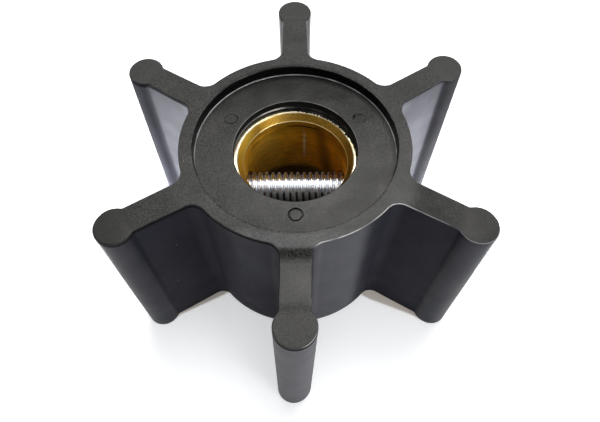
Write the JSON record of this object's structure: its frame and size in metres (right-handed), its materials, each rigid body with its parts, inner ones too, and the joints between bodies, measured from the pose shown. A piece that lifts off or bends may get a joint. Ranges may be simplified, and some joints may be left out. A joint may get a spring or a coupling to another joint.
{
  "type": "pump impeller",
  "caption": "Flexible-vane pump impeller of black rubber moulded over a brass insert, with a stepped central bore and a threaded drive screw across it.",
  "frame": {"origin": "on the impeller's axis, at the lower end face on which it stands", "axes": "+Z along the axis from the lower to the upper end; the drive screw lies along X; one vane points along +Y and one along -Y"},
  "size_m": [0.0518, 0.059, 0.0302],
  "materials": {
    "rubber": "black moulded rubber, matte ends with a fine grain and satin flanks",
    "brass": "turned brass with fine tool marks, bright at the coned mouths",
    "steel": "bright stainless steel"
  },
  "bodies": {
    "root": {"rubber_body": "rubber", "brass_insert": "brass", "drive_screw": "steel"}
  },
  "joints": []
}
